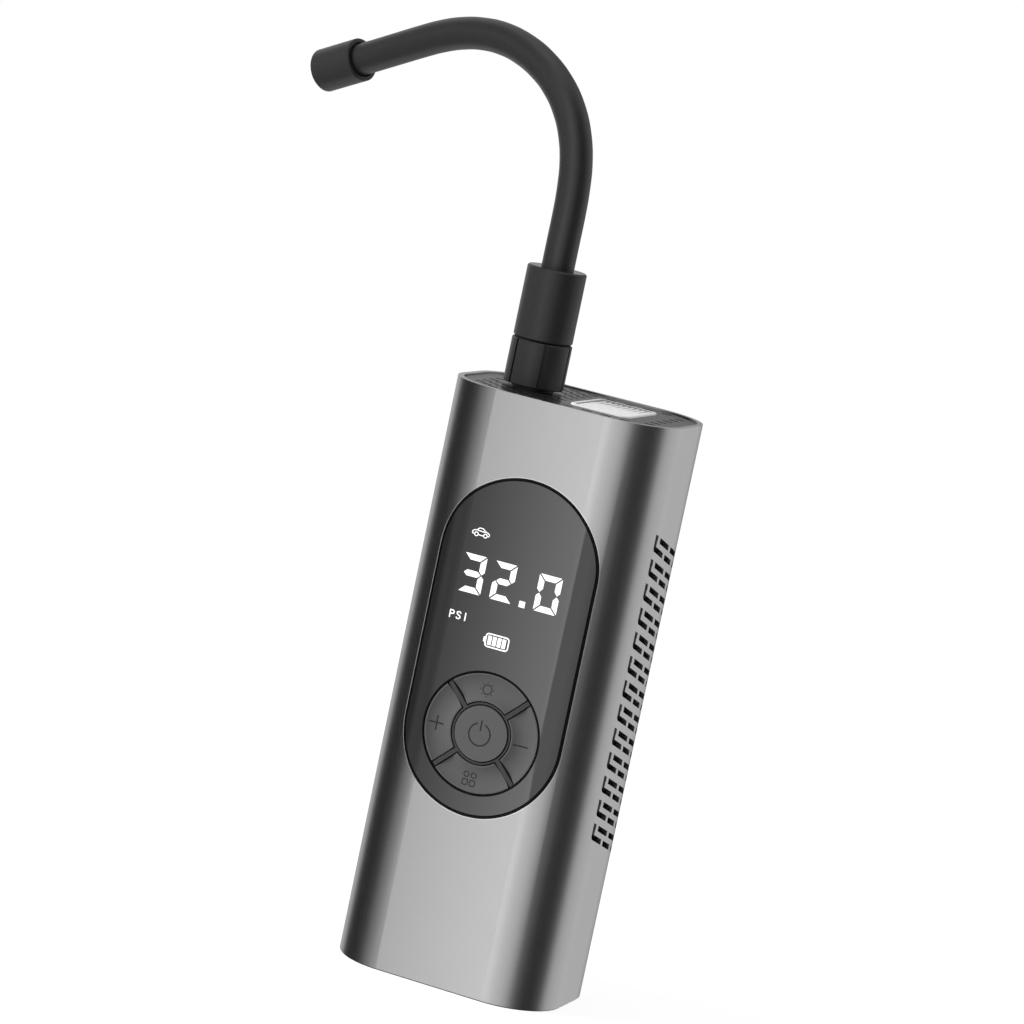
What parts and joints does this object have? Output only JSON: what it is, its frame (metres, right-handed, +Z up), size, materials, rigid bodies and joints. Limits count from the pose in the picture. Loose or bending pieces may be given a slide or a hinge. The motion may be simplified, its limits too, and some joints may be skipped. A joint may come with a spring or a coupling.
{
  "type": "portable tire inflator",
  "caption": "Upright cordless tire inflator: aluminium tube body with a smoked display window, round key pad, top lamp, side vents and an arched air hose with a screw-on chuck.",
  "frame": {"origin": "middle of the body's foot, on the surface that it stands on", "axes": "+Z up along the body, -Y out of the panel, +X to the right seen from the front, with the hose at the left"},
  "size_m": [0.1409, 0.0621, 0.2525],
  "materials": {
    "sleeve_aluminium": "satin anodised, fine upright grain",
    "cover_plastic": "fine matt texture",
    "grille_plastic": "matt",
    "window_plastic": "smoked, polished",
    "key_plastic": "satin",
    "black_plastic": "matt",
    "display_plastic": "glossy",
    "circuit_board": "solder mask",
    "fastener_steel": "plated",
    "bright_steel": "ground",
    "cell_wrap": "shrink film over a steel can",
    "wire_jacket": "satin",
    "motor_steel": "plated",
    "magnet": "sintered",
    "winding": "enamelled wire on a steel core",
    "white_plastic": "satin",
    "bronze": "sintered",
    "cast_aluminium": "die-cast",
    "spring_brass": "rolled",
    "black_rubber": "matt",
    "lamp_lens": "opal, ribbed",
    "hose_fitting": "satin",
    "hose_rubber": "satin",
    "brass": "turned"
  },
  "bodies": {
    "base": {"housing_sleeve": "sleeve_aluminium", "top_cover": "cover_plastic", "bottom_cover": "cover_plastic", "cover_screws": "fastener_steel", "side_grille_left": "grille_plastic", "side_grille_right": "grille_plastic", "panel_window": "window_plastic", "panel_carrier": "black_plastic", "tact_switches": "black_plastic", "display_module": "display_plastic", "control_board": "circuit_board", "board_screws": "fastener_steel", "main_board": "circuit_board", "charge_port": "bright_steel", "battery_cell_left": "cell_wrap", "battery_cell_right": "cell_wrap", "cell_cradle": "black_plastic", "cell_tabs": "bright_steel", "battery_leads": "wire_jacket", "inner_chassis": "black_plastic", "motor_can": "motor_steel", "motor_end_cap": "white_plastic", "motor_magnets": "magnet", "motor_screws": "fastener_steel", "motor_leads": "wire_jacket", "gear_axle": "bright_steel", "pump_frame": "cast_aluminium", "frame_dampers": "black_rubber", "pump_cylinder": "cast_aluminium", "head_gasket": "black_rubber", "cylinder_head": "cast_aluminium", "outlet_valve_flap": "spring_brass", "head_screws": "fastener_steel", "air_tube": "black_rubber", "outlet_manifold": "cast_aluminium", "outlet_gasket": "black_rubber", "pressure_sensor": "black_plastic", "lamp_lens": "lamp_lens", "lamp_tray": "white_plastic", "lamp_board": "white_plastic"},
    "key_power": {"button_power": "key_plastic"},
    "key_light": {"button_light": "key_plastic"},
    "key_plus": {"button_plus": "key_plastic"},
    "key_minus": {"button_minus": "key_plastic"},
    "key_mode": {"button_mode": "key_plastic"},
    "rotor": {"motor_shaft": "bright_steel", "motor_armature": "winding", "drive_pinion": "bright_steel"},
    "crank": {"crank_gear": "white_plastic", "gear_bush": "bronze", "crank_pin": "bright_steel"},
    "piston": {"piston_rod": "white_plastic", "rod_bearing": "bright_steel", "piston_seal": "black_rubber"},
    "hose": {"hose_collar": "hose_fitting", "hose_tube": "hose_rubber", "chuck_insert": "brass", "chuck_seal": "black_rubber"},
    "nut": {"hose_nut": "hose_fitting"},
    "chuck": {"chuck_sleeve": "hose_fitting"}
  },
  "joints": [
    {"name": "key_power_press", "type": "slide", "parent": "base", "child": "key_power", "axis": [0, 1, 0], "range_m": [0, 0.0005], "stiffness_N_per_m": 1000},
    {"name": "key_light_press", "type": "slide", "parent": "base", "child": "key_light", "axis": [0, 1, 0], "range_m": [0, 0.0005], "stiffness_N_per_m": 1000},
    {"name": "key_plus_press", "type": "slide", "parent": "base", "child": "key_plus", "axis": [0, 1, 0], "range_m": [0, 0.0005], "stiffness_N_per_m": 1000},
    {"name": "key_minus_press", "type": "slide", "parent": "base", "child": "key_minus", "axis": [0, 1, 0], "range_m": [0, 0.0005], "stiffness_N_per_m": 1000},
    {"name": "key_mode_press", "type": "slide", "parent": "base", "child": "key_mode", "axis": [0, 1, 0], "range_m": [0, 0.0005], "stiffness_N_per_m": 1000},
    {"name": "rotor_turn", "type": "hinge", "parent": "base", "child": "rotor", "pos_m": [0.0029, 0.004, 0.11], "axis": [0, 0, 1], "continuous": true},
    {"name": "crank_turn", "type": "hinge", "parent": "base", "child": "crank", "pos_m": [-0.0135, 0.004, 0.112], "axis": [0, 0, 1], "continuous": true},
    {"name": "piston_slide", "type": "slide", "parent": "base", "child": "piston", "axis": [1, 0, 0], "range_m": [0, 0.008]},
    {"name": "hose_lift", "type": "slide", "parent": "base", "child": "hose", "axis": [0, 0, 1], "range_m": [0, 0.006]},
    {"name": "nut_turn", "type": "hinge", "parent": "hose", "child": "nut", "pos_m": [-0.014, 0, 0.1665], "axis": [0, 0, 1], "range_deg": [0, 2160]},
    {"name": "chuck_turn", "type": "hinge", "parent": "hose", "child": "chuck", "pos_m": [-0.09965, 0.03117, 0.23047], "axis": [-0.8648, 0.3148, -0.3911], "continuous": true}
  ],
  "couplings": [
    {"joint": "crank_turn", "follows": "rotor_turn", "ratio": -0.32258},
    {"joint": "nut_turn", "follows": "hose_lift", "rad_per_m": 6283.2}
  ]
}
